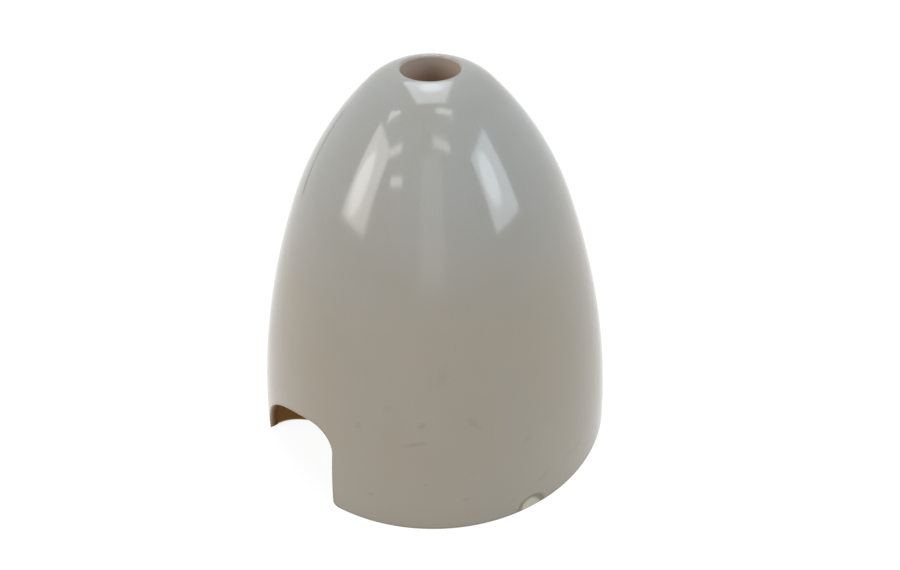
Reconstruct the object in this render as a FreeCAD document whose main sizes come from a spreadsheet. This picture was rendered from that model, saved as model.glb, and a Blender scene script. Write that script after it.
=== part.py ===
import FreeCAD, Part
import Sketcher
import math
import os

# Propeller spinner for a two-blade model aircraft propeller: one moulded plastic shell.
# Millimetres. The open rim lies in the plane z = 0, the nose points up +Z, and the
# blades leave through the two slots along -X and +X.

doc = FreeCAD.newDocument("propeller_spinner")


# ---------------------------------------------------------------- the sizes
# Every driving size is one cell of this sheet. Lengths in mm, angles in degrees; the
# lean of the wall is its angle from the upright.
SIZES = [
    ("rim_diameter", "57.15", "outside diameter of the open rim (2 1/4 in)"),
    ("shell_length", "59.6", "from the rim to the top of the nose arc"),
    ("rim_taper", "3.36", "lean of the outside wall where it leaves the rim"),
    ("flank_end", "20.9", "lean of the wall where the flank meets the shoulder"),
    ("shoulder_end", "45.1", "lean of the wall where the shoulder meets the nose"),
    ("nose_radius", "9.04", "radius of the nose arc"),
    ("tip_flat", "4.87", "diameter of the flat that the nose arcs leave on the axis"),
    ("wall", "1.3", "thickness of the moulded wall"),
    ("bore_diameter", "8.0", "hole through the nose for the retaining bolt"),
    ("bore_depth", "6.0", "thickness of the solid nose"),
    ("bore_edge", "0.35", "rounding of the outer mouth of the nose hole"),
    ("seat_corner", "1.6", "rounding between the flat seat and the inside wall"),
    ("slot_width", "19.6", "width of a blade slot at the rim"),
    ("slot_height", "14.2", "height of a blade slot above the rim"),
    ("slot_lean", "1.7", "draft of both sides of a blade slot"),
    ("slot_trailing_start", "0.9", "height at which the trailing side starts to curve"),
    ("slot_trailing_radius", "9.8", "corner of the slot on the trailing side"),
    ("slot_roof_radius", "17.9", "radius of the sloping roof of the slot"),
    ("slot_leading_radius", "3.7", "corner of the slot on the leading side"),
    ("slot_foot_radius", "1.1", "rounding of the slot's sides into the rim"),
    ("slot_count", "2", "blade slots, one for each blade"),
    ("scar_radius", "2.45", "half width of the half round scar on the rim"),
    ("scar_depth", "0.5", "depth of the scar at its upper edge"),
    ("scar_place", "263.2", "angle of the scar about the axis, counted from +X"),
]
# Sizes that follow from the ones above. The flank and shoulder radii are the two that
# carry a chain of tangent arcs from the rim to the tip: "reach" and "climb" are the
# way that these two arcs cover across and upwards, and each factor is the part of
# that way which an arc of radius 1 covers between its two leans.
DERIVED = [
    ("rim_radius", "=rim_diameter / 2"),
    ("reach", "=(rim_diameter - tip_flat) / 2 - nose_radius * cos(shoulder_end * 1 deg)"),
    ("climb", "=shell_length - nose_radius * (1 - sin(shoulder_end * 1 deg))"),
    ("flank_in", "=cos(rim_taper * 1 deg) - cos(flank_end * 1 deg)"),
    ("flank_up", "=sin(flank_end * 1 deg) - sin(rim_taper * 1 deg)"),
    ("shoulder_in", "=cos(flank_end * 1 deg) - cos(shoulder_end * 1 deg)"),
    ("shoulder_up", "=sin(shoulder_end * 1 deg) - sin(flank_end * 1 deg)"),
    ("spread", "=flank_up * shoulder_in - flank_in * shoulder_up"),
    ("flank_radius", "=(climb * shoulder_in - reach * shoulder_up) / spread"),
    ("shoulder_radius", "=(reach * flank_up - climb * flank_in) / spread"),
    ("flank_centre_x", "=rim_radius - flank_radius * cos(rim_taper * 1 deg)"),
    ("flank_centre_z", "=-flank_radius * sin(rim_taper * 1 deg)"),
    ("flank_top", "=flank_centre_z + flank_radius * sin(flank_end * 1 deg)"),
    ("shoulder_centre_z",
     "=flank_centre_z + (flank_radius - shoulder_radius) * sin(flank_end * 1 deg)"),
    ("shoulder_top", "=shoulder_centre_z + shoulder_radius * sin(shoulder_end * 1 deg)"),
    ("nose_centre_z", "=shell_length - nose_radius"),
    ("seat_height", "=shell_length - bore_depth"),
    ("leading_centre_z", "=slot_height - slot_leading_radius"),
]
FULL_TURN = 360.0
TOUCHING = 0.02     # two places closer together than this are the same place

sheet = doc.addObject("Spreadsheet::Sheet", "Sizes")
for row, (alias, value, meaning) in enumerate(SIZES, start=1):
    sheet.set("A%d" % row, alias)
    sheet.set("B%d" % row, value)
    sheet.setAlias("B%d" % row, alias)
    sheet.set("C%d" % row, meaning)
for row, (alias, formula) in enumerate(DERIVED, start=len(SIZES) + 1):
    sheet.set("A%d" % row, alias)
    sheet.set("B%d" % row, formula)
    sheet.setAlias("B%d" % row, alias)
doc.recompute()


def size(alias):
    """Value of one cell of the sheet."""
    return float(getattr(sheet, alias))


def vec(x, y):
    return FreeCAD.Vector(x, y, 0.0)


def at(centre, radius, lean):
    """Point of an arc where the wall leans by this angle from the upright."""
    return centre + vec(radius * math.cos(lean), radius * math.sin(lean))


def circle(centre, radius):
    return Part.Circle(centre, FreeCAD.Vector(0, 0, 1), radius)


def arc(centre, radius, first, last):
    """Counter-clockwise arc between two angles in radians."""
    return Part.ArcOfCircle(circle(centre, radius), first, last)


class Outline:
    """One sketch of a body, with its sizes bound to the sheet."""

    START, END, CENTRE = range(1, 4)     # the sketcher's own numbers for these points
    ORIGIN = (-1, START)

    def __init__(self, body, name, plane):
        self.sketch = body.newObject("Sketcher::SketchObject", name)
        role = [f for f in body.Origin.OriginFeatures if f.Role == plane][0]
        self.sketch.AttachmentSupport = (role, [""])
        self.sketch.MapMode = "FlatFace"

    def line(self, a, b):
        return self.sketch.addGeometry(Part.LineSegment(a, b), False)

    def curve(self, geometry):
        return self.sketch.addGeometry(geometry, False)

    def rule(self, kind, *what):
        return self.sketch.addConstraint(Sketcher.Constraint(kind, *what))

    def sized(self, kind, what, value, name, formula):
        """A constraint with a value that follows the sheet."""
        index = self.rule(kind, *(tuple(what) + (value,)))
        self.sketch.renameConstraint(index, name)
        self.sketch.setExpression("Constraints." + name, formula)

    def height(self, geo, point, value, name, formula):
        """Height of a point over the sketch's horizontal axis."""
        self.sized("DistanceY", self.ORIGIN + (geo, point), value, name, formula)

    def depth(self, geo, point, value, name, formula):
        """Depth of a point under the sketch's horizontal axis."""
        self.sized("DistanceY", (geo, point) + self.ORIGIN, value, name, formula)

    def across(self, geo, point, value, name, formula):
        """Distance of a point to the right of the sketch's vertical axis."""
        self.sized("DistanceX", self.ORIGIN + (geo, point), value, name, formula)


# ---------------------------------------------------------------- the shell
# One body. Its features follow the order in which a toolmaker would describe the
# moulding: the turned wall, the two blade slots, the rounded feet of the slots, the scar.
body = doc.addObject("PartDesign::Body", "Shell")
body.Label = "spinner_shell"

taper = math.radians(size("rim_taper"))
flank_lean = math.radians(size("flank_end"))
shoulder_lean = math.radians(size("shoulder_end"))
upright = math.pi / 2

R_rim, R_flank = size("rim_radius"), size("flank_radius")
R_shoulder, R_nose = size("shoulder_radius"), size("nose_radius")
c_flank = vec(size("flank_centre_x"), size("flank_centre_z"))
step = R_flank - R_shoulder
c_shoulder = vec(c_flank[0] + step * math.cos(flank_lean), size("shoulder_centre_z"))
step = R_shoulder - R_nose
c_nose = vec(c_shoulder[0] + step * math.cos(shoulder_lean), size("nose_centre_z"))

# The section of the wall, turned once about the axis: outside from the rim to the nose
# hole, down through the hole to the flat seat, and back along the same arcs set in by
# the wall. Each arc is tangent to the next. The section stands midway between the
# slots, so that no slot cuts the seam where the turned faces close.
wall, seat = size("wall"), size("seat_height")
R_bore, R_edge, R_corner = size("bore_diameter") / 2, size("bore_edge"), size("seat_corner")
mouth = math.asin(-c_flank[1] / (R_flank - wall))
edge_lean = math.acos((R_bore + R_edge - c_nose[0]) / (R_nose - R_edge))
c_edge = at(c_nose, R_nose - R_edge, edge_lean)
corner_lean = math.asin((seat - R_corner - c_shoulder[1]) / (R_shoulder - wall - R_corner))
c_corner = at(c_shoulder, R_shoulder - wall - R_corner, corner_lean)

section = Outline(body, "WallSection", "YZ_Plane")
rim = section.line(at(c_flank, R_flank - wall, mouth), vec(R_rim, 0))
flank = section.curve(arc(c_flank, R_flank, taper, flank_lean))
shoulder = section.curve(arc(c_shoulder, R_shoulder, flank_lean, shoulder_lean))
nose = section.curve(arc(c_nose, R_nose, shoulder_lean, edge_lean))
edge = section.curve(arc(c_edge, R_edge, edge_lean, math.pi))
bore = section.line(vec(R_bore, c_edge[1]), vec(R_bore, seat))
flat = section.line(vec(R_bore, seat), vec(c_corner[0], seat))
corner = section.curve(arc(c_corner, R_corner, corner_lean, upright))
in_shoulder = section.curve(arc(c_shoulder, R_shoulder - wall, flank_lean, corner_lean))
in_flank = section.curve(arc(c_flank, R_flank - wall, mouth, flank_lean))

section.rule("Horizontal", rim)
section.rule("PointOnObject", rim, section.END, section.ORIGIN[0])
section.rule("Coincident", rim, section.END, flank, section.START)
section.rule("Tangent", flank, section.END, shoulder, section.START)
section.rule("Tangent", shoulder, section.END, nose, section.START)
section.rule("Tangent", nose, section.END, edge, section.START)
section.rule("Tangent", edge, section.END, bore, section.START)
section.rule("Coincident", bore, section.END, flat, section.START)
section.rule("Tangent", flat, section.END, corner, section.END)
section.rule("Tangent", corner, section.START, in_shoulder, section.END)
section.rule("Tangent", in_shoulder, section.START, in_flank, section.END)
section.rule("Coincident", in_flank, section.START, rim, section.START)
section.rule("Vertical", bore)
section.rule("Horizontal", flat)
section.across(rim, section.END, R_rim, "rim_radius", "Sizes.rim_radius")
section.sized("Radius", [flank], R_flank, "flank_radius", "Sizes.flank_radius")
section.depth(flank, section.CENTRE, -c_flank[1], "flank_drop", "-Sizes.flank_centre_z")
section.height(flank, section.END, size("flank_top"), "flank_top", "Sizes.flank_top")
section.sized("Radius", [shoulder], R_shoulder, "shoulder_radius", "Sizes.shoulder_radius")
section.height(shoulder, section.END, size("shoulder_top"), "shoulder_top",
               "Sizes.shoulder_top")
section.sized("Radius", [nose], R_nose, "nose_radius", "Sizes.nose_radius")
section.sized("Radius", [edge], R_edge, "bore_edge", "Sizes.bore_edge")
section.across(bore, section.END, R_bore, "bore_radius", "Sizes.bore_diameter / 2")
section.height(flat, section.START, seat, "seat_height", "Sizes.seat_height")
section.sized("Radius", [corner], R_corner, "seat_corner", "Sizes.seat_corner")
section.rule("Coincident", in_flank, section.CENTRE, flank, section.CENTRE)
section.rule("Coincident", in_shoulder, section.CENTRE, shoulder, section.CENTRE)
section.sized("Distance", [in_flank, section.END, flank, section.END], wall, "wall",
              "Sizes.wall")
doc.recompute()

shell = body.newObject("PartDesign::Revolution", "Wall")
shell.Profile = section.sketch
shell.ReferenceAxis = (section.sketch, ["V_Axis"])
shell.Angle = FULL_TURN
doc.recompute()

# Blade slot: the trailing side rises low into a long sloping roof, the leading side
# stands nearly upright, as a blade is thick and steeply pitched at its root.
lean = math.radians(size("slot_lean"))
half = size("slot_width") / 2
rise = size("slot_trailing_start")
r_trail, r_roof = size("slot_trailing_radius"), size("slot_roof_radius")
r_lead = size("slot_leading_radius")
past = wall         # the outline runs below the rim by as much as the wall is thick


def slot_arcs():
    """Centres of the three tangent arcs of the slot in the sketch's plane.

    The trailing arc starts where the trailing side ends; the leading arc touches the
    leading side and has its top at the slot's height; the roof arc holds both inside.
    """
    c_trail = vec(half - rise * math.tan(lean) - r_trail * math.cos(lean),
                  rise - r_trail * math.sin(lean))
    z_lead = size("leading_centre_z")
    x_lead = -half + z_lead * math.tan(lean) + r_lead / math.cos(lean)
    dx, dz = c_trail[0] - x_lead, c_trail[1] - z_lead
    gap = math.hypot(dx, dz)
    near, far = r_roof - r_lead, r_roof - r_trail
    along = (near ** 2 - far ** 2 + gap ** 2) / (2 * gap)
    off = math.sqrt(near ** 2 - along ** 2)
    c_roof = vec(x_lead + (along * dx + off * dz) / gap, z_lead + (along * dz - off * dx) / gap)
    return c_trail, c_roof, vec(x_lead, z_lead)


c_trail, c_roof, c_lead = slot_arcs()
trail_join = math.atan2(c_trail[1] - c_roof[1], c_trail[0] - c_roof[0])
lead_join = math.atan2(c_lead[1] - c_roof[1], c_lead[0] - c_roof[0])
arch = Outline(body, "SlotOutline", "YZ_Plane")
trail_top = at(c_trail, r_trail, lean)
lead_top = at(c_lead, r_lead, math.pi - lean)
trail_side = arch.line(vec(half, 0), trail_top)
trail = arch.curve(arc(c_trail, r_trail, lean, trail_join))
top = arch.curve(arc(c_roof, r_roof, trail_join, lead_join))
lead = arch.curve(arc(c_lead, r_lead, lead_join, math.pi - lean))
lead_side = arch.line(lead_top, vec(-half, 0))
lead_past = arch.line(vec(-half, 0), vec(-half, -past))
under = arch.line(vec(-half, -past), vec(half, -past))
trail_past = arch.line(vec(half, -past), vec(half, 0))
arch.rule("Tangent", trail_side, arch.END, trail, arch.START)
arch.rule("Tangent", trail, arch.END, top, arch.START)
arch.rule("Tangent", top, arch.END, lead, arch.START)
arch.rule("Tangent", lead, arch.END, lead_side, arch.START)
arch.rule("Coincident", lead_side, arch.END, lead_past, arch.START)
arch.rule("Coincident", lead_past, arch.END, under, arch.START)
arch.rule("Coincident", under, arch.END, trail_past, arch.START)
arch.rule("Coincident", trail_past, arch.END, trail_side, arch.START)
arch.rule("Vertical", lead_past)
arch.rule("Vertical", trail_past)
arch.rule("Horizontal", under)
arch.rule("PointOnObject", lead_side, arch.END, arch.ORIGIN[0])
arch.rule("Symmetric", lead_side, arch.END, trail_side, arch.START, *arch.ORIGIN)
arch.sized("DistanceX", [lead_side, arch.END, trail_side, arch.START], 2 * half, "slot_width",
           "Sizes.slot_width")
arch.sized("Distance", [trail_past], past, "past_rim", "Sizes.wall")
arch.sized("Angle", [trail_past, arch.START, trail_side, arch.START], lean, "trailing_lean",
           "Sizes.slot_lean * 1 deg")
arch.sized("Angle", [lead_side, arch.END, lead_past, arch.END], lean, "leading_lean",
           "Sizes.slot_lean * 1 deg")
arch.height(trail_side, arch.END, rise, "trailing_start", "Sizes.slot_trailing_start")
arch.height(lead, arch.CENTRE, c_lead[1], "leading_centre", "Sizes.leading_centre_z")
arch.sized("Radius", [trail], r_trail, "trailing_radius", "Sizes.slot_trailing_radius")
arch.sized("Radius", [top], r_roof, "roof_radius", "Sizes.slot_roof_radius")
arch.sized("Radius", [lead], r_lead, "leading_radius", "Sizes.slot_leading_radius")
doc.recompute()

slot = body.newObject("PartDesign::Pocket", "BladeSlot")
slot.Profile = arch.sketch
slot.Type = "Length"
slot.Length = size("rim_diameter")
slot.setExpression("Length", "Sizes.rim_diameter")
doc.recompute()

slots = body.newObject("PartDesign::PolarPattern", "BladeSlots")
slots.Originals = [slot]
slots.Axis = (section.sketch, ["V_Axis"])
slots.Angle = FULL_TURN
slots.Occurrences = int(size("slot_count"))
slots.setExpression("Occurrences", "Sizes.slot_count")
body.Tip = slots
doc.recompute()


def edges_where(feature, test):
    """Names of the edges of a feature's shape for which the test holds."""
    found = []
    for number, edge in enumerate(feature.Shape.Edges, start=1):
        if test(edge):
            found.append("Edge%d" % number)
    return found


def rounded(name, base, edges, alias):
    """Fillet on the named edges of the feature below it."""
    fillet = body.newObject("PartDesign::Fillet", name)
    fillet.Base = (base, edges)
    fillet.Radius = size(alias)
    fillet.setExpression("Radius", "Sizes." + alias)
    body.Tip = fillet
    doc.recompute()
    return fillet


def is_slot_foot(edge):
    """True for the short edge where a slot's side meets the rim."""
    box = edge.BoundBox
    return box.ZMax < TOUCHING and box.YLength < TOUCHING and box.XLength < 2 * wall


feet = edges_where(slots, is_slot_foot)
slot_feet = rounded("SlotFeet", slots, feet, "slot_foot_radius")

# The scar on the rim: half round, deepest at its upper edge, running out at the rim.
# Its sketch stands on the rim, faces outwards and leans back under the scar's floor.
scoop = Outline(body, "ScarOutline", "XY_Plane")
scar_circle = scoop.curve(circle(vec(0, 0), size("scar_radius")))
scoop.rule("Coincident", scar_circle, scoop.CENTRE, *scoop.ORIGIN)
scoop.sized("Radius", [scar_circle], size("scar_radius"), "scar_radius", "Sizes.scar_radius")
scoop.sketch.setExpression(
    "AttachmentOffset",
    "placement(vector(Sizes.rim_radius * cos(Sizes.scar_place * 1 deg);"
    " Sizes.rim_radius * sin(Sizes.scar_place * 1 deg); 0);"
    " rotation(vector(0; 0; 1); Sizes.scar_place + 90)"
    " * rotation(vector(1; 0; 0); 90 - Sizes.rim_taper"
    " - atan(Sizes.scar_depth / Sizes.scar_radius) / 1 deg))")
doc.recompute()
scar = body.newObject("PartDesign::Pocket", "RimScar")
scar.Profile = scoop.sketch
scar.Type = "Length"
scar.Length = size("scar_radius")
scar.setExpression("Length", "Sizes.scar_radius")
scar.Reversed = True
body.Tip = scar
doc.recompute()


# ---------------------------------------------------------------- the check and the file
for thing in doc.Objects:
    if "Invalid" in thing.State or "Error" in thing.State:
        raise RuntimeError("%s did not build: %s" % (thing.Label, thing.State))
for feature in (shell, slots, slot_feet, scar):
    if feature.Shape.isNull() or not feature.Shape.isValid():
        raise RuntimeError("%s has no valid shape" % feature.Label)
for before, after in ((shell, slots), (slot_feet, scar)):
    if after.Shape.Volume >= before.Shape.Volume:
        raise RuntimeError("%s removed nothing" % after.Label)

os.makedirs("parts", exist_ok=True)
body.Shape.exportStep("parts/spinner_shell.step")
print("spinner_shell", round(body.Shape.Volume, 1), "mm3, top at", round(body.Shape.BoundBox.ZMax, 2), "mm")
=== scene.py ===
import math
import bpy
import numpy as np
from mathutils import Matrix, Vector


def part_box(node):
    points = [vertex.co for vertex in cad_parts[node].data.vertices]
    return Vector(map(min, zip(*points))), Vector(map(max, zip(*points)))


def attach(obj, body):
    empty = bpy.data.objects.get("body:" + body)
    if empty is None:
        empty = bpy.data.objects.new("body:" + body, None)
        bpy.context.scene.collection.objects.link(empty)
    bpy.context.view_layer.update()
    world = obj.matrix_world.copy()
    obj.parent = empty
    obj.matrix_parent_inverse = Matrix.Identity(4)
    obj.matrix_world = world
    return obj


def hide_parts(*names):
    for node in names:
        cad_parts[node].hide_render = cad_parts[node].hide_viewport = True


# A moulded spinner for a two-blade model aircraft propeller, standing on its open rim.
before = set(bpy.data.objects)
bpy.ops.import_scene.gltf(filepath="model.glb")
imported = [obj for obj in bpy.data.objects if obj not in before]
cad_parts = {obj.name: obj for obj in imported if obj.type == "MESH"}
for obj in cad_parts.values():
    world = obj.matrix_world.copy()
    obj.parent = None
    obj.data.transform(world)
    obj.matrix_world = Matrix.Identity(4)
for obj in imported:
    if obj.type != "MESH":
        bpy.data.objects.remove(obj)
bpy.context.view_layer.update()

# ------------------------------------------------------------------ the shell: its section
# The spinner is one thin ogive shell, moulded in one piece and open at the rim. Its wall
# is the same all over and ends in a thick nose, with a flat seat for the head of the
# retaining bolt. All lengths below are in millimetres and turned to metres at the end.
MM = 0.001

RIM_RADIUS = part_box("spinner_shell")[1].y / MM
SHELL_LENGTH = 59.6         # rim to the top of the nose arc
WALL = 1.3
NOSE_RADIUS = 9.04
TIP_FLAT = 4.87             # flat that the nose arcs leave on the axis
BORE_RADIUS = 4.0
BORE_EDGE = 0.35            # rounding of the mouth of the nose hole
SEAT_HEIGHT = 53.6          # flat seat inside, under the nose
SEAT_CORNER = 1.6
RIM_TAPER, FLANK_END, SHOULDER_END = np.radians((3.36, 20.9, 45.1))


class ArcChain:
    """A section line of tangent arcs, read by its length.

    An arc of radius R about (a, b) covers the leans p to q; its point at the lean w is
    (a + R cos w, b + R sin w), and its length is R (q - p). A position s along the
    chain gives the arc by the running sum of lengths, and the lean by the rest over R.
    """

    def __init__(self, arcs):
        self.arcs = np.array(arcs)          # rows of: a, b, R, first lean, last lean
        self.starts = np.concatenate(([0.0], np.cumsum(self.arcs[:, 2] * np.abs(
            self.arcs[:, 4] - self.arcs[:, 3]))))
        self.length = self.starts[-1]

    def at(self, s):
        """Radius, height and lean at each position of an array."""
        k = np.clip(np.searchsorted(self.starts, s, side="right") - 1, 0, len(self.arcs) - 1)
        a, b, radius, first, last = np.moveaxis(self.arcs[k], -1, 0)
        lean = first + np.sign(last - first) * (s - self.starts[k]) / radius
        return a + radius * np.cos(lean), b + radius * np.sin(lean), lean

    def position(self, z):
        """Position of a height, on the first arc."""
        _, b, radius, first, _ = self.arcs[0]
        return radius * np.abs(np.arcsin((z - b) / radius) - first)


def wall_arcs():
    """Centres and radii of flank, shoulder and nose, from the rim to the nose.

    The nose arc is set by its own radius and the flat on the axis. What is left across
    and upwards is covered by flank and shoulder: R1 (cos t - cos f) + R2 (cos f - cos s)
    across and R1 (sin f - sin t) + R2 (sin s - sin f) upwards, two equations for the
    two radii. Each next centre lies on the line through the last centre and the join.
    """
    t, f, s = RIM_TAPER, FLANK_END, SHOULDER_END
    across = RIM_RADIUS - TIP_FLAT / 2 - NOSE_RADIUS * math.cos(s)
    upwards = SHELL_LENGTH - NOSE_RADIUS * (1 - math.sin(s))
    flank, shoulder = np.linalg.solve(
        [[math.cos(t) - math.cos(f), math.cos(f) - math.cos(s)],
         [math.sin(f) - math.sin(t), math.sin(s) - math.sin(f)]], [across, upwards])
    radii = np.array((flank, shoulder, NOSE_RADIUS))
    steps = -np.diff(radii)[:, None] * [[math.cos(f), math.sin(f)], [math.cos(s), math.sin(s)]]
    first = np.array((RIM_RADIUS - flank * math.cos(t), -flank * math.sin(t)))
    centres = first + np.concatenate((np.zeros((1, 2)), np.cumsum(steps, axis=0)))
    return centres, radii


centres, radii = wall_arcs()
mouth_lean = math.acos((BORE_RADIUS + BORE_EDGE - centres[2, 0]) / (NOSE_RADIUS - BORE_EDGE))
outside = ArcChain([
    (*centres[0], radii[0], RIM_TAPER, FLANK_END),
    (*centres[1], radii[1], FLANK_END, SHOULDER_END),
    (*centres[2], radii[2], SHOULDER_END, mouth_lean)])
rim_inside = math.asin(-centres[0, 1] / (radii[0] - WALL))
corner_lean = math.asin((SEAT_HEIGHT - SEAT_CORNER - centres[1, 1])
                        / (radii[1] - WALL - SEAT_CORNER))
inside = ArcChain([
    (*centres[0], radii[0] - WALL, rim_inside, FLANK_END),
    (*centres[1], radii[1] - WALL, FLANK_END, corner_lean)])
mouth_height = centres[2, 1] + (NOSE_RADIUS - BORE_EDGE) * math.sin(mouth_lean)
corner_radius = centres[1, 0] + (radii[1] - WALL - SEAT_CORNER) * math.cos(corner_lean)

# ------------------------------------------------------------------ the shell: its blade slots
# Two slots let the blade roots out of the shell, on -X and on +X, the second being the
# first turned half round. They are trimmed parallel to the blade: a low trailing side
# and a high leading side, both rounded into the rim, with tangent corners between.
SLOT_HALF = 9.8             # half the slot's width at the rim
SLOT_HEIGHT = 14.2
SLOT_LEAN = math.radians(1.7)
TRAILING_START, TRAILING_RADIUS = 0.9, 9.8
ROOF_RADIUS, LEADING_RADIUS = 17.9, 3.7
TRAILING_FOOT, LEADING_FOOT = 0.35, 1.1     # the low side is left nearly sharp


def slot_outline(steps):
    """Points (y, z) of a slot's outline from the trailing foot to the leading foot.

    Arcs and lines, each tangent to the next: the foot, the trailing side and corner, the
    roof, the leading corner and side, and the other foot. The roof's centre is at the
    distance R - r from the centres of both corners. A foot rounds the corner between the
    rim and a side y = +-(half - z tan lean), so its centre is f (1/cos lean - tan lean)
    outside the side and f above the rim.
    """
    lean, rise = SLOT_LEAN, TRAILING_START
    trail = np.array((SLOT_HALF - rise * math.tan(lean) - TRAILING_RADIUS * math.cos(lean),
                      rise - TRAILING_RADIUS * math.sin(lean)))
    lead_z = SLOT_HEIGHT - LEADING_RADIUS
    lead = np.array((-SLOT_HALF + lead_z * math.tan(lean) + LEADING_RADIUS / math.cos(lean),
                     lead_z))
    gap = trail - lead
    far = np.hypot(*gap)
    near = ROOF_RADIUS - LEADING_RADIUS
    along = (near ** 2 - (ROOF_RADIUS - TRAILING_RADIUS) ** 2 + far ** 2) / (2 * far)
    across = math.sqrt(near ** 2 - along ** 2)
    roof = lead + (along * gap + across * np.array((gap[1], -gap[0]))) / far

    out = 1 / math.cos(lean) - math.tan(lean)
    first_foot = np.array((SLOT_HALF + TRAILING_FOOT * out, TRAILING_FOOT))
    last_foot = np.array((-SLOT_HALF - LEADING_FOOT * out, LEADING_FOOT))

    def turn(a, b):
        return math.atan2(b[1] - a[1], b[0] - a[0])

    def arc(centre, radius, start, end, count):
        w = np.linspace(start, end, count, endpoint=False)
        return np.stack((centre[0] + radius * np.cos(w), centre[1] + radius * np.sin(w)), 1)

    def line(start, end, count):
        return start + np.linspace(0.0, 1.0, count, endpoint=False)[:, None] * (end - start)

    foot_n, rise_n, trail_n, roof_n, lead_n, side_n = steps
    quarter = math.pi / 2
    rise_low = first_foot - TRAILING_FOOT * np.array((math.cos(lean), math.sin(lean)))
    rise_top = trail + TRAILING_RADIUS * np.array((math.cos(lean), math.sin(lean)))
    side_top = lead + LEADING_RADIUS * np.array((-math.cos(lean), math.sin(lean)))
    side_low = last_foot + LEADING_FOOT * np.array((math.cos(lean), -math.sin(lean)))
    return np.concatenate((
        arc(first_foot, TRAILING_FOOT, -quarter, lean - math.pi, foot_n),
        line(rise_low, rise_top, rise_n),
        arc(trail, TRAILING_RADIUS, lean, turn(roof, trail), trail_n),
        arc(roof, ROOF_RADIUS, turn(roof, trail), turn(roof, lead), roof_n),
        arc(lead, LEADING_RADIUS, turn(roof, lead), math.pi - lean, lead_n),
        line(side_top, side_low, side_n),
        arc(last_foot, LEADING_FOOT, -lean, -quarter, foot_n),
        [last_foot - (0.0, LEADING_FOOT)]))


# ------------------------------------------------------------------ the shell: its surface
# One moulding, so outer skin, cut edges and inner skin are one closed sheet, from the
# lower edge round the rim and over both slots up to the nose and back down the inside.
# Trimming leaves every edge a little rounded, and a knock has left a scar on the rim.
OUTER_EDGE, INNER_EDGE, SEAT_EDGE = 0.25, 0.12, 0.15
SCAR_RADIUS, SCAR_DEPTH, SCAR_PLACE = 2.45, 0.5, math.radians(263.2)
SCAR_STEP = 0.14            # width over which the scar's edge drops

# columns: foot, rise, trailing corner, roof, leading corner and side of a slot, then half
# of the rim, and what its half with the scar has more
SLOT_COLUMNS, RIM_COLUMNS, SCAR_COLUMNS = (7, 3, 14, 36, 18, 16), 84, 40
SLOT_TURN = 0.39            # about half the angle that a slot takes of the rim
CROWD, CROWD_WIDTH = 4.5, 0.045     # how much closer the columns stand at the scar
FAN = 7                     # how soon the columns spread out over a slot

# rows: the height of a row at each distance from the lower edge
OUTER_ROWS = (0, 0.16), (3, 0.18), (8, 0.8), (46, 0.9), (54, 0.55), (62, 0.45)
INNER_ROWS = (0, 0.35), (3, 0.5), (12, 1.2), (40, 1.3), (60, 0.9)


def lower_edge():
    """Columns along the lower edge, for growing angle about the axis.

    Returns the angle and the height of each column on the outer skin, and the angle on
    the inner skin. On the rim the height is 0 and the angle grows evenly, with more
    columns near the scar. In a slot the outline gives y and z, and the angle is that of
    the point (-sqrt(r^2 - y^2), y) on the skin of radius r. Half of the columns are the
    other half turned round the axis.
    """
    outline = slot_outline(SLOT_COLUMNS)
    y, z = outline[:-1].T
    slot_angles = []
    for skin in (outside, inside):
        r = skin.at(skin.position(z))[0]
        slot_angles.append(np.arctan2(y, -np.sqrt(r * r - y * y)) % (2 * math.pi))
    outer, inner, height = [], [], []
    for turned, count in ((0, RIM_COLUMNS), (math.pi, RIM_COLUMNS + SCAR_COLUMNS)):
        share = np.linspace(0.0, 1.0, count, endpoint=False)
        if turned:                          # draw the columns together near the scar
            even = np.linspace(0.0, 1.0, 4001)
            middle = (SCAR_PLACE - turned - SLOT_TURN) / (math.pi - 2 * SLOT_TURN)
            pull = 1 + CROWD * np.exp(-((even - middle) / CROWD_WIDTH) ** 4)
            run = np.concatenate(([0.0], np.cumsum((pull[1:] + pull[:-1]) / 2)))
            share = np.interp(share, run / run[-1], even)
        for angles, skin, result in zip(slot_angles, (outside, inside), (outer, inner)):
            radius = skin.at(skin.position(np.zeros(1)))[0][0]
            start = math.asin(-outline[-1, 0] / radius)
            stop = math.pi - math.asin(outline[0, 0] / radius)
            result.append(turned + start + (stop - start) * share)
            result.append(turned + angles)
        height += [np.zeros(count), z]
    return np.concatenate(outer), np.concatenate(height), np.concatenate(inner)


def direction(angle, lean):
    """Outward direction of a skin: it leans up by the wall's lean."""
    return np.stack((np.cos(lean) * np.cos(angle), np.cos(lean) * np.sin(angle),
                     np.sin(lean)), -1)


def place(angle, radius, height):
    """Points of an angle about the axis, a radius and a height."""
    angle, radius, height = np.broadcast_arrays(angle, radius, height)
    return np.stack((radius * np.cos(angle), radius * np.sin(angle), height), -1)


def run_along(closed_line):
    """Unit tangents of a closed line of points, by central differences."""
    step = np.roll(closed_line, -1, 0) - np.roll(closed_line, 1, 0)
    return step / np.linalg.norm(step, axis=1, keepdims=True)


def skin_start(skin, angle, s, inset):
    """Where a skin's first row starts: at an inset from its lower edge.

    The inset is taken in the skin, square to the edge: along the outward direction
    times the edge's tangent. Returns angle and position there, and the edge's points.
    """
    r, z, lean = skin.at(s)
    edge = place(angle, r, z)
    away = np.cross(direction(angle, lean), run_along(edge))
    east = np.stack((-np.sin(angle), np.cos(angle), 0 * angle), -1)
    north = np.stack((-np.sin(lean) * np.cos(angle), -np.sin(lean) * np.sin(angle),
                      np.cos(lean)), -1)
    return angle + inset * (away * east).sum(1) / r, s + inset * (away * north).sum(1), edge


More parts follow.
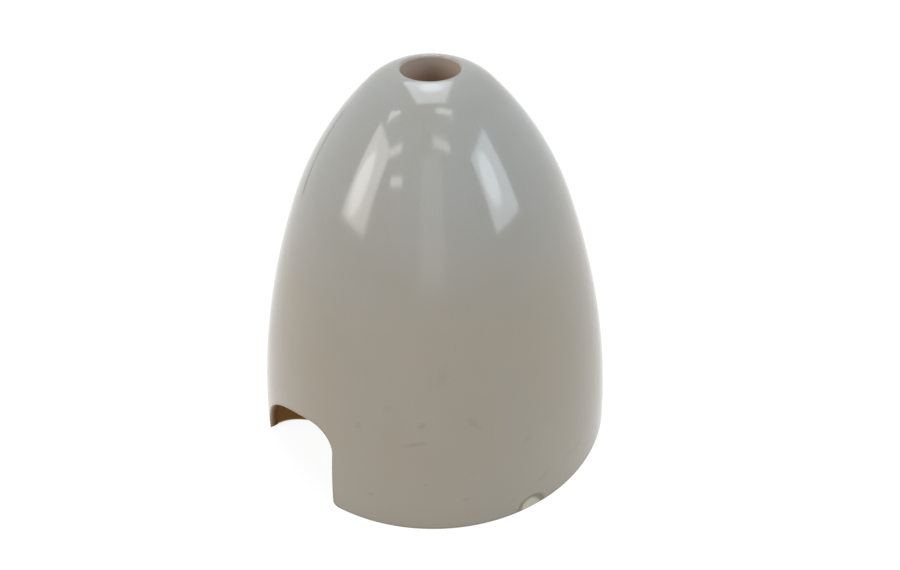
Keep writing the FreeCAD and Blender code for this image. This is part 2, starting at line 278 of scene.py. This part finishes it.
def spacing_rows(length, sizes):
    """Shares from 0 to 1 of a length, for a row height that varies along it.

    sizes pairs a distance with the row height there; the rows stand where the running
    sum of 1/height reaches whole numbers.
    """
    x = np.linspace(0.0, length, 6001)
    density = 1 / np.interp(x, *np.array(sizes).T)
    run = np.concatenate(([0.0], np.cumsum((density[1:] + density[:-1]) / 2)))
    count = int(round(run[-1] * (x[1] - x[0])))
    return np.interp(np.linspace(0.0, run[-1], count + 1), run, x) / length


def scar_depth(angle, s):
    """Depth of the scar: a half disc on the rim, deepest at its top, 0 at the rim.

    Inside the half disc the depth grows evenly with height. At its edge it drops by a
    smooth step over a short width.
    """
    side = (angle - SCAR_PLACE) * RIM_RADIUS
    reach = (SCAR_RADIUS - np.hypot(side, s)) / SCAR_STEP + 0.5
    step = np.clip(reach, 0.0, 1.0)
    return SCAR_DEPTH * (s / SCAR_RADIUS) * step * step * (3 - 2 * step)


def bend(a, corner, b, count):
    """Rows of a rounded edge from a to b: (1-u)^2 a + 2u(1-u) corner + u^2 b."""
    u = np.linspace(0.0, 1.0, count + 1)[1:-1, None, None]
    return (1 - u) ** 2 * a + 2 * u * (1 - u) * corner + u * u * b


def shell_surface():
    """Points of the shell on a grid closed in both directions, and two depths in mm.

    A point is a function of its column and its row. On a skin the row is a position
    along the section, which gives radius and height; the angle about the axis goes from
    the column's own at the lower edge to an even one at the nose by 1 - (1 - share)^FAN.
    Through the nose the section is a quarter circle, lines and another quarter circle,
    and across the wall a line with a rounding at both ends.

    The cut depth is how far into the wall a row lies on a trimmed edge, and below zero
    how far up the outer skin. The hole depth is how far down the nose hole a row lies,
    and that of the seat is kept for the inside.
    """
    angle_out, height, angle_in = lower_edge()
    start_out, start_in = outside.position(height), inside.position(height)
    angle_a, s_a, edge_out = skin_start(outside, angle_out, start_out, OUTER_EDGE)
    angle_b, s_b, edge_in = skin_start(inside, angle_in, start_in, INNER_EDGE)

    # the columns' angles at the nose follow the length of the lower edge
    lengths = np.linalg.norm(np.diff(edge_out, axis=0, append=edge_out[:1]), axis=1)
    run = np.concatenate(([0.0], np.cumsum(lengths)))
    top = run[:-1] / run[-1] * 2 * math.pi
    apex = np.argmax(height)
    top += angle_out[apex] - top[apex]

    def skin_rows(skin, angle, s, sizes):
        share = spacing_rows(skin.length, sizes)[:, None]
        fanned = angle + (top - angle) * (1 - (1 - share) ** FAN)
        return fanned, s + (skin.length - s) * share, share[:, 0]

    fanned, along, share_out = skin_rows(outside, angle_a, s_a, OUTER_ROWS)
    r, z, lean = outside.at(along)
    outer = place(fanned, r, z) - scar_depth(fanned, along)[..., None] * direction(fanned, lean)

    # the nose hole: its rounded mouth, its wall and the edge to the seat
    w = np.linspace(mouth_lean, math.pi, 9)[1:, None]
    mouth = place(top, BORE_RADIUS + BORE_EDGE * (1 + np.cos(w)),
                  mouth_height + BORE_EDGE * np.sin(w))
    mouth_depth = BORE_EDGE * (1 - np.cos(math.pi * np.linspace(0, 1, len(mouth)))) / 2
    wall_z = np.linspace(mouth_height, SEAT_HEIGHT + SEAT_EDGE, 13)[1:, None]
    bore = place(top, BORE_RADIUS, wall_z)
    bore_depth = BORE_EDGE + mouth_height - wall_z[:, 0]
    w = np.linspace(0, math.pi / 2, 5)[1:, None]
    seat_edge = place(top, BORE_RADIUS + SEAT_EDGE * (1 - np.cos(w)),
                      SEAT_HEIGHT + SEAT_EDGE * (1 - np.sin(w)))

    # the inside: the flat seat, its corner and the inner skin
    seat = place(top, np.linspace(BORE_RADIUS + SEAT_EDGE, corner_radius, 9)[1:, None],
                 SEAT_HEIGHT)
    w = np.linspace(math.pi / 2, corner_lean, 9)[1:-1, None]
    corner = place(top, corner_radius + SEAT_CORNER * np.cos(w),
                   SEAT_HEIGHT - SEAT_CORNER + SEAT_CORNER * np.sin(w))
    fanned_in, along_in, _ = skin_rows(inside, angle_b, s_b, INNER_ROWS)
    inner = place(fanned_in[::-1], *[v[::-1] for v in inside.at(along_in)[:2]])

    # the trimmed edge across the wall, with a rounding on each side
    across = edge_in - edge_out
    width = np.linalg.norm(across, axis=1, keepdims=True)
    cut_out = edge_out + OUTER_EDGE * across / width
    cut_in = edge_in - INNER_EDGE * across / width
    low_in = bend(inner[-1], edge_in, cut_in, 4)
    share = np.linspace(0.0, 1.0, 7)
    cut = cut_in + share[:, None, None] * (cut_out - cut_in)
    low_out = bend(cut_out, edge_out, outer[0], 6)

    # each stretch of rows with its cut depth and its hole depth
    far, deep = -outside.length, bore_depth[-1]
    stretches = (
        (outer, far * share_out, 0.0),
        (mouth, far, mouth_depth),
        (bore, far, bore_depth),
        (seat_edge, far, deep),
        (seat, far, deep),
        (corner, far, deep),
        (inner, far, deep),
        (low_in, WALL, deep),
        (cut, WALL - (WALL - OUTER_EDGE) * share, 0.0),
        (low_out, OUTER_EDGE * (1 - share[1:-1]), 0.0))
    rows = np.concatenate([stretch[0] for stretch in stretches])
    cut_depth, hole_depth = (
        np.concatenate([np.broadcast_to(stretch[k], len(stretch[0])) for stretch in stretches])
        for k in (1, 2))
    return rows * MM, cut_depth, hole_depth


def closed_mesh(name, points):
    """Mesh of a grid of points that is closed in both directions, in quads."""
    rows, columns = points.shape[:2]
    index = np.arange(rows * columns).reshape(rows, columns)
    right, up = np.roll(index, -1, 1), np.roll(index, -1, 0)
    quads = np.stack((index, right, np.roll(up, -1, 1), up), -1).reshape(-1, 4)
    mesh = bpy.data.meshes.new(name)
    mesh.vertices.add(rows * columns)
    mesh.vertices.foreach_set("co", points.astype(np.float32).ravel())
    mesh.loops.add(quads.size)
    mesh.loops.foreach_set("vertex_index", quads.astype(np.int32).ravel())
    mesh.polygons.add(len(quads))
    mesh.polygons.foreach_set("loop_start", np.arange(0, quads.size, 4, dtype=np.int32))
    mesh.update(calc_edges=True)
    mesh.polygons.foreach_set("use_smooth", np.ones(len(quads), bool))
    mesh.validate()
    return mesh


points, cut_depth, hole_depth = shell_surface()
angle = np.arctan2(points[..., 1], points[..., 0]) % (2 * math.pi)
in_scar = SCAR_RADIUS - np.hypot((angle - SCAR_PLACE) * RIM_RADIUS, points[..., 2] / MM)
mesh = closed_mesh("shell", points)
for name, depth in (("cut_depth", cut_depth[:, None]), ("hole_depth", hole_depth[:, None]),
                    ("in_scar", in_scar)):
    mesh.attributes.new(name, "FLOAT", "POINT").data.foreach_set(
        "value", np.broadcast_to(depth, angle.shape).astype(np.float32).ravel())
shell = bpy.data.objects.new("moulded_shell", mesh)
bpy.context.scene.collection.objects.link(shell)
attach(shell, "root")
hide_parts("spinner_shell")

# ------------------------------------------------------------------ the shell: its plastic
# The shell is ABS, moulded in a pale stone grey. The polished mould gives it its gloss: a thin
# sharp reflection over a soft body colour. The plastic lets a little light through; cut faces,
# hole and inside are painted tan for the warmer light that comes back from inside the wall, and
# darker deeper in as painted shade.


def linear(code):
    """Linear colour of an sRGB hex code: ((c + 0.055) / 1.055) ** 2.4 over the toe."""
    srgb = np.array([int(code[k:k + 2], 16) for k in (0, 2, 4)]) / 255
    value = np.where(srgb <= 0.04045, srgb / 12.92, ((srgb + 0.055) / 1.055) ** 2.4)
    return (*value.tolist(), 1.0)


def add_node(tree, kind, inputs=(), **settings):
    """Adds a node with its settings and its inputs, and gives back its outputs.

    inputs pairs an input's name or number with a number, with a colour, or with the
    output that feeds it.
    """
    node = tree.nodes.new("ShaderNode" + kind)
    for name, value in settings.items():
        setattr(node, name, value)
    for socket, value in dict(inputs).items():
        if isinstance(value, bpy.types.NodeSocket):
            tree.links.new(value, node.inputs[socket])
        else:
            node.inputs[socket].default_value = value
    return node.outputs


def new_material(name):
    """A material and its node tree, still empty."""
    material = bpy.data.materials.new(name)
    material.use_nodes = True
    material.node_tree.nodes.clear()
    return material, material.node_tree


UPPER_GREY, LOWER_GREY, STAIN = linear("8a8a87"), linear("8b8274"), linear("877f71")
# cut faces and hole: painted warm light from inside the wall, darker deeper in as painted shade
EDGE_BEIGE, CUT_SHADE_BROWN = linear("a58f70"), linear("6e4318")
HOLE_TAN, DEEP_SHADE_TAN = linear("9f9184"), linear("98735c")
# the dark line of edges and scar is painted shade, the scar's pale floor painted light
GRIME_AND_SHADE, EDGE_AND_SCAR_SHADE, SCAR_FLOOR_LIGHT = linear("6d675c"), linear("716854"), linear("aba796")
ABS_IOR = 1.45
POLISHED, WIPED, DULL = 0.095, 0.15, 0.9    # roughness

# sizes of the patterns in mm; the real mottling is finer than a tenth of a millimetre
# and is drawn coarser to show
CLOUD, STAIN_PATCH, MOTTLE, BLOTCH, SPECK_CELL = 17.0, 10.2, 0.35, 0.8, 5.0
WAVE, WAVE_DEPTH, HAZE = 7.0, 0.03, 11.0

# Input 0 of each MapRange node goes from the range 1, 2 to the range 3, 4 (0 and 1 where
# they are left out) in a smooth step. A Mix node's inputs are the share and two colours.
plastic, tree = new_material("glossy moulded ABS")
millimetres = add_node(tree, "VectorMath", {
    0: add_node(tree, "TexCoord")["Object"], "Scale": 1 / MM}, operation="SCALE")[0]
height = add_node(tree, "SeparateXYZ", {0: millimetres})["Z"]
cut, hole, scar = (add_node(tree, "Attribute", attribute_name=name)["Fac"]
                   for name in ("cut_depth", "hole_depth", "in_scar"))

# the body: warmer and a little darker towards the rim, by height, and in soft random clouds
clouds = add_node(tree, "TexNoise", {0: millimetres, "Scale": 1 / CLOUD, "Detail": 3.0})[0]
clouds = add_node(tree, "MapRange", {0: clouds, 1: 0.38, 2: 0.66, 4: 0.2},
                  interpolation_type="SMOOTHSTEP")[0]
low_warmth = add_node(tree, "MapRange", {0: height, 1: 24.0, 2: 56.0, 3: 0.88, 4: 0.0},
                interpolation_type="SMOOTHSTEP")[0]
low_warmth = add_node(tree, "Math", {0: low_warmth, 1: clouds}, operation="ADD")[0]
skin = add_node(tree, "Mix", {0: low_warmth, 6: UPPER_GREY, 7: LOWER_GREY}, data_type="RGBA")[2]

# stained patches, and fine mottling all over
for size, detail, start, end, strength in (
        (STAIN_PATCH, 4.0, 0.5, 0.72, 0.3), (MOTTLE, 2.0, 0.4, 0.7, 0.14)):
    share = add_node(tree, "TexNoise", {0: millimetres, "Scale": 1 / size, "Detail": detail})[0]
    share = add_node(tree, "MapRange", {0: share, 1: start, 2: end, 4: strength},
                     interpolation_type="SMOOTHSTEP")[0]
    skin = add_node(tree, "Mix", {0: share, 6: skin, 7: STAIN}, data_type="RGBA")[2]

# specks of dirt, a few tenths of a millimetre wide: near the middle of a cell, in some
# of the cells only, and most of them low on the shell
cells = add_node(tree, "TexVoronoi", {0: millimetres, "Scale": 1 / SPECK_CELL})
chosen = add_node(tree, "SeparateColor", {0: cells["Color"]})[0]
dirt_and_shade = 1.0
for value, start, end, low, high in ((cells["Distance"], 0.03, 0.09, 1.0, 0.0),
                                     (chosen, 0.55, 0.9, 0.0, 1.0),
                                     (height, 16.0, 34.0, 0.8, 0.15)):
    share = add_node(tree, "MapRange", {0: value, 1: start, 2: end, 3: low, 4: high},
                     interpolation_type="SMOOTHSTEP")[0]
    dirt_and_shade = add_node(tree, "Math", {0: dirt_and_shade, 1: share}, operation="MULTIPLY")[0]

# rubbed marks, and as the last one a dark tick for a tiny nick, which is painted shade in the
# nick: angle about the axis and height of the middle, half length, half width, slant from level
# (degrees) and strength
MARKS = ((227.2, 16.2, 2.9, 0.42, 14, 0.8), (213.7, 5.8, 0.6, 0.45, 20, 0.7),
         (230.4, 9.1, 0.45, 0.35, 0, 0.6), (209.5, 17.7, 0.9, 0.7, 60, 0.6),
         (229.5, 19.4, 1.0, 0.6, 30, 0.8), (245.1, 19.2, 1.9, 0.8, -50, 0.6),
         (242.1, 5.8, 0.6, 0.4, 0, 0.55), (256.5, 3.2, 0.7, 0.4, 10, 0.6),
         (283.6, 6.0, 1.8, 0.8, 15, 0.5), (279.2, 6.2, 1.4, 0.7, -20, 0.5),
         (268.0, 5.2, 1.6, 0.8, 30, 0.45), (219.0, 21.5, 1.1, 0.8, 0, 0.35),
         (236.0, 27.0, 2.4, 1.0, 75, 0.25), (262.0, 14.0, 1.4, 0.7, 40, 0.3),
         (60.0, 11.0, 2.2, 0.5, 20, 0.5), (100.0, 6.0, 1.0, 0.7, -15, 0.5),
         (28.0, 18.0, 1.6, 0.4, 70, 0.4), (316.0, 14.5, 0.6, 0.4, 10, 0.9))
MARK_DEPTH = 3.0            # half of a mark's size across the wall
blotches = add_node(tree, "TexNoise", {0: millimetres, "Scale": 1 / BLOTCH, "Detail": 2.0})[0]
for angle, level, long, wide, slant, strength in MARKS:
    radius = outside.at(outside.position(level))[0]
    turned = math.radians(angle)
    reach = add_node(tree, "Mapping", {
        0: millimetres, "Scale": (MARK_DEPTH, long, wide),
        "Location": (radius * math.cos(turned), radius * math.sin(turned), level),
        "Rotation": (math.radians(slant), 0.0, turned)}, vector_type="TEXTURE")[0]
    reach = add_node(tree, "VectorMath", {0: reach}, operation="LENGTH")["Value"]
    ragged = add_node(tree, "Math", {0: blotches, 1: 1.1, 2: reach}, operation="MULTIPLY_ADD")[0]
    mark = add_node(tree, "MapRange", {0: ragged, 1: 0.5, 2: 1.6, 3: strength, 4: 0.0},
                    interpolation_type="SMOOTHSTEP")[0]
    dirt_and_shade = add_node(tree, "Math", {0: dirt_and_shade, 1: mark}, operation="MAXIMUM")[0]
# specks and marks darken towards grime; for the nick this is painted shade
dirt_and_shade = add_node(tree, "Math", {0: dirt_and_shade, 1: 0.42}, operation="MULTIPLY")[0]
skin = add_node(tree, "Mix", {0: dirt_and_shade, 6: skin, 7: GRIME_AND_SHADE}, data_type="RGBA")[2]

# painted shade: a thin dark line along the trimmed edge, the contact shade where the rim meets
# the table, and a dark line at the scar's edge for the shadow of its step; the scar's floor is
# painted pale, as painted light where it faces up
ragged = add_node(tree, "Math", {0: blotches, 1: 0.5, 2: scar}, operation="MULTIPLY_ADD")[0]
for depth, start, end, strength, colour in ((cut, -0.45, -0.1, 0.45, EDGE_AND_SCAR_SHADE),
                                            (ragged, -0.3, 0.5, 0.7, EDGE_AND_SCAR_SHADE),
                                            (ragged, 0.8, 1.4, 1.0, SCAR_FLOOR_LIGHT)):
    share = add_node(tree, "MapRange", {0: depth, 1: start, 2: end, 4: strength},
                     interpolation_type="SMOOTHSTEP")[0]
    skin = add_node(tree, "Mix", {0: share, 6: skin, 7: colour}, data_type="RGBA")[2]

# painted light and shade from inside the wall: tan in the hole, browner and darker deeper down as
# painted shade, and beige to brown on a cut edge, darker inwards as painted shade, each with the
# depths over which it takes over from the skin and then changes
body = skin
for depth, start, end, turn_start, turn_end, shallow, deep in (
        (hole, 0.02, 0.4, 0.5, 5.0, HOLE_TAN, DEEP_SHADE_TAN),
        (cut, 0.0, 0.15, 0.25, 1.0, EDGE_BEIGE, CUT_SHADE_BROWN)):
    share = add_node(tree, "MapRange", {0: depth, 1: turn_start, 2: turn_end},
                     interpolation_type="SMOOTHSTEP")[0]
    inner_colour = add_node(tree, "Mix", {0: share, 6: shallow, 7: deep}, data_type="RGBA")[2]
    share = add_node(tree, "MapRange", {0: depth, 1: start, 2: end},
                     interpolation_type="SMOOTHSTEP")[0]
    body = add_node(tree, "Mix", {0: share, 6: body, 7: inner_colour}, data_type="RGBA")[2]

# the polished mould leaves a faint waviness
waves = add_node(tree, "TexNoise", {0: millimetres, "Scale": 1 / WAVE, "Detail": 1.0})[0]
waves = add_node(tree, "Bump", {"Height": waves, "Strength": 0.5, "Distance": WAVE_DEPTH * MM})[0]

# wiping has left a slight haze on the gloss; cut edges, hole and inside are dull
haze = add_node(tree, "TexNoise", {0: millimetres, "Scale": 1 / HAZE, "Detail": 5.0,
                                   "Roughness": 0.6})[0]
haze = add_node(tree, "MapRange", {0: haze, 1: 0.4, 2: 0.75, 3: POLISHED, 4: WIPED},
                interpolation_type="SMOOTHSTEP")[0]
dull = add_node(tree, "Math", {0: cut, 1: hole}, operation="MAXIMUM")[0]
dull = add_node(tree, "MapRange", {0: dull, 1: 0.1, 2: 0.5, 4: DULL},
                interpolation_type="SMOOTHSTEP")[0]
rough = add_node(tree, "Math", {0: haze, 1: dull}, operation="MAXIMUM")[0]
shine = add_node(tree, "BsdfPrincipled", {"Base Color": body, "Roughness": rough,
                                          "Normal": waves, "IOR": ABS_IOR})[0]
add_node(tree, "OutputMaterial", {"Surface": shine})
shell.data.materials.append(plastic)

# ------------------------------------------------------------------ the table
# A plain white laminate table top that runs on far behind the spinner, so that it is also the
# backdrop. It shows white to the camera and in the plastic's gloss, and it keeps a faint shadow;
# under the shell, away from the slots, it is painted a dark brown shade.
TABLE_HALF = 3000.0
WHITE, TABLE_WHITE, FAINT = linear("ffffff"), linear("f4f4f2"), linear("616161")
UNDER_SHADE_BROWN = linear("604323")
TABLE_GLOW, UNDER_SHADE_GLOW = 0.91, 0.8
# inside the shell, daylight falls on the table only up to the line y = SHADE_TOP - SHADE_BEND (x
# + SHADE_MIDDLE)^2 and its half turn, with soft edges; beyond it the table is painted a glowing
# dark brown shade
SHADE_TOP, SHADE_BEND, SHADE_MIDDLE, SHADE_SOFT = 10.05, 0.12, 25.4, 0.3
SHADE_RIM = 0.5             # how far inside the rim the shade starts


def seen_directly(tree):
    """1 where the camera, a reflection or a view through something clear looks, else 0."""
    ray = add_node(tree, "LightPath")
    seen = ray["Is Camera Ray"]
    for other in ("Is Glossy Ray", "Is Transmission Ray"):
        seen = add_node(tree, "Math", {0: seen, 1: ray[other]}, operation="MAXIMUM")[0]
    return seen


top_mesh = bpy.data.meshes.new("table")
top_mesh.from_pydata([(x * TABLE_HALF * MM, y * TABLE_HALF * MM, 0.0)
                      for x, y in ((-1, -1), (1, -1), (1, 1), (-1, 1))], [], [(0, 1, 2, 3)])
table = bpy.data.objects.new("table", top_mesh)
bpy.context.scene.collection.objects.link(table)

laminate, tree = new_material("white table laminate")
ground = add_node(tree, "VectorMath", {
    0: add_node(tree, "TexCoord")["Object"], "Scale": 1 / MM}, operation="SCALE")[0]
from_axis = add_node(tree, "VectorMath", {0: ground}, operation="LENGTH")["Value"]
shade = add_node(tree, "MapRange", {0: from_axis, 1: RIM_RADIUS - SHADE_RIM - 0.1,
                                    2: RIM_RADIUS - SHADE_RIM, 3: 1.0, 4: 0.0},
                 interpolation_type="SMOOTHSTEP")[0]
ground = add_node(tree, "SeparateXYZ", {0: ground})
for turned in (1.0, -1.0):
    x, y = (add_node(tree, "Math", {0: ground[axis], 1: turned}, operation="MULTIPLY")[0]
            for axis in ("X", "Y"))
    square = add_node(tree, "Math", {0: x, 1: SHADE_MIDDLE}, operation="ADD")[0]
    square = add_node(tree, "Math", {0: square, 1: square}, operation="MULTIPLY")[0]
    beyond = add_node(tree, "Math", {0: square, 1: SHADE_BEND, 2: y}, operation="MULTIPLY_ADD")[0]
    lit = 1.0
    for value, start, end in ((beyond, SHADE_TOP - SHADE_SOFT, SHADE_TOP + SHADE_SOFT),
                              (x, -1.0, 0.0)):
        share = add_node(tree, "MapRange", {0: value, 1: start, 2: end, 3: 1.0, 4: 0.0},
                         interpolation_type="SMOOTHSTEP")[0]
        lit = add_node(tree, "Math", {0: lit, 1: share}, operation="MULTIPLY")[0]
    unlit = add_node(tree, "MapRange", {0: lit, 3: 1.0, 4: 0.0},
                     interpolation_type="SMOOTHSTEP")[0]
    shade = add_node(tree, "Math", {0: shade, 1: unlit}, operation="MULTIPLY")[0]

# what is seen directly is a glow with a little of the light that falls on it
pale, painted_shade = (
    add_node(tree, "AddShader", {
        0: add_node(tree, "Emission", {"Color": glow_colour, "Strength": glow})[0],
        1: add_node(tree, "BsdfDiffuse", {"Color": colour})[0]})[0]
    for glow_colour, glow, colour in ((WHITE, TABLE_GLOW, FAINT),
                                      (UNDER_SHADE_BROWN, UNDER_SHADE_GLOW, UNDER_SHADE_BROWN)))
seen = add_node(tree, "MixShader", {0: shade, 1: pale, 2: painted_shade})[0]
plain = add_node(tree, "BsdfDiffuse", {"Color": TABLE_WHITE})[0]
surface = add_node(tree, "MixShader", {0: seen_directly(tree), 1: plain, 2: seen})[0]
add_node(tree, "OutputMaterial", {"Surface": surface})
table.data.materials.append(laminate)

# ------------------------------------------------------------------ the table's joint
# Where two table tops meet, a dark joint runs past the spinner, wider towards its far
# end. The camera doesn't see it, but the gloss shows it as a soft line below the nose.
JOINT_NEAR, JOINT_FAR = Vector((-36.0, 160.0, 0.2)), Vector((54.0, 622.0, 0.2))
NEAR_WIDTH, FAR_WIDTH = 9.0, 36.0

side = (JOINT_FAR - JOINT_NEAR).normalized().cross(Vector((0, 0, 1)))
near_side, far_side = side * NEAR_WIDTH / 2, side * FAR_WIDTH / 2
joint_mesh = bpy.data.meshes.new("table_joint")
joint_mesh.from_pydata([tuple(corner * MM) for corner in (
    JOINT_NEAR - near_side, JOINT_FAR - far_side, JOINT_FAR + far_side, JOINT_NEAR + near_side)],
    [], [(0, 1, 2, 3)])
joint = bpy.data.objects.new("table_joint", joint_mesh)
bpy.context.scene.collection.objects.link(joint)
filler, tree = new_material("dark joint filler")
dark = add_node(tree, "BsdfDiffuse", {"Color": linear("3a3a38")})[0]
add_node(tree, "OutputMaterial", {"Surface": dark})
joint.data.materials.append(filler)

# ------------------------------------------------------------------ the room's light
# A pale room lights the spinner from all round. Two tall windows at the height of the
# nose, left and right of the camera, a softer one behind it and a few small ceiling
# lamps show as reflections.
ROOM_LIGHT = 0.34
NEUTRAL, COOL = (1.0, 0.99, 0.97), (0.84, 0.93, 1.0)    # light colours, linear

world = bpy.data.worlds.new("pale room")
bpy.context.scene.world = world
world.use_nodes = True
world.node_tree.nodes.clear()
tree = world.node_tree
room = add_node(tree, "Background", {"Color": WHITE, "Strength": ROOM_LIGHT})[0]
white = add_node(tree, "Background", {"Color": WHITE, "Strength": 1.0})[0]
surface = add_node(tree, "MixShader", {0: seen_directly(tree), 1: room, 2: white})[0]
add_node(tree, "OutputWorld", {"Surface": surface})


def lamp(name, azimuth, elevation, width, height, glow, colour, tilt=0.0, shape="RECTANGLE",
         distance=600.0):
    """An area lamp on a sphere round the nose, facing the nose.

    It stands at the distance, azimuth and elevation from the nose; its radiance is
    power / (pi * area), so the power is glow * pi * width * height. An ellipse of the
    same power has pi / 4 of that area, and is brighter by as much.
    """
    a, e = math.radians(azimuth), math.radians(elevation)
    toward = Vector((math.cos(e) * math.cos(a), math.cos(e) * math.sin(a), math.sin(e)))
    light = bpy.data.lights.new(name, "AREA")
    light.shape = shape
    light.size, light.size_y = width * MM, height * MM
    light.energy = glow * math.pi * light.size * light.size_y
    light.color = colour
    holder = bpy.data.objects.new(name, light)
    holder.matrix_world = (
        Matrix.Translation((Vector((0, 0, SEAT_HEIGHT)) + toward * distance) * MM)
        @ toward.to_track_quat("Z", "Y").to_matrix().to_4x4()
        @ Matrix.Rotation(math.radians(tilt), 4, "Z"))
    bpy.context.scene.collection.objects.link(holder)


# azimuth and elevation in degrees, width and height in mm, and the glow; each glare is
# the brighter middle of a window or of the ceiling
lamp("left_window", 163, 25, 270, 340, 5.0, NEUTRAL, tilt=6)
lamp("left_glare", 160, 22, 130, 240, 3.6, NEUTRAL, tilt=3, shape="ELLIPSE")
lamp("right_window", -60, 25.5, 285, 310, 4.8, COOL, tilt=-4)
lamp("right_glare", -64, 28, 140, 200, 3.6, COOL, tilt=-4, shape="ELLIPSE")
lamp("ceiling", 57, 72, 340, 520, 5.0, COOL)
lamp("ceiling_glare", 53, 65, 180, 200, 3.0, COOL, shape="ELLIPSE")
lamp("front_wall", -127, 25, 200, 520, 0.8, NEUTRAL)
for number, (azimuth, elevation, width, height, tilt) in enumerate((
        (157, 48.6, 130, 46, 50), (183, 43.2, 112, 36, 34), (-111.4, 51.6, 180, 36, -16),
        (-166, 34.3, 110, 40, 18), (-88, 66, 190, 90, -42))):
    lamp(f"small_lamp_{number}", azimuth, elevation, width, height, 5.5, NEUTRAL, tilt=tilt)

# ------------------------------------------------------------------ the camera
# It stands near the spinner and looks down on it, between the two slots.
CAMERA_PLACE = (-61.99, -84.57, 105.08)
CAMERA_AZIMUTH, CAMERA_DOWN, CAMERA_ROLL = np.radians((52.391, 37.941, -0.13))
LENS, SENSOR_WIDTH = 33.92, 36.0        # mm

view = bpy.data.cameras.new("camera")
view.lens, view.sensor_width = LENS, SENSOR_WIDTH
view.clip_start = 10 * MM
camera = bpy.data.objects.new("camera", view)
camera.matrix_world = (
    Matrix.Translation(Vector(CAMERA_PLACE) * MM)
    @ Matrix.Rotation(CAMERA_AZIMUTH - math.pi / 2, 4, "Z")
    @ Matrix.Rotation(math.pi / 2 - CAMERA_DOWN, 4, "X")
    @ Matrix.Rotation(CAMERA_ROLL, 4, "Z"))
bpy.context.scene.collection.objects.link(camera)
bpy.context.scene.camera = camera
bpy.context.scene.view_settings.view_transform = "Standard"
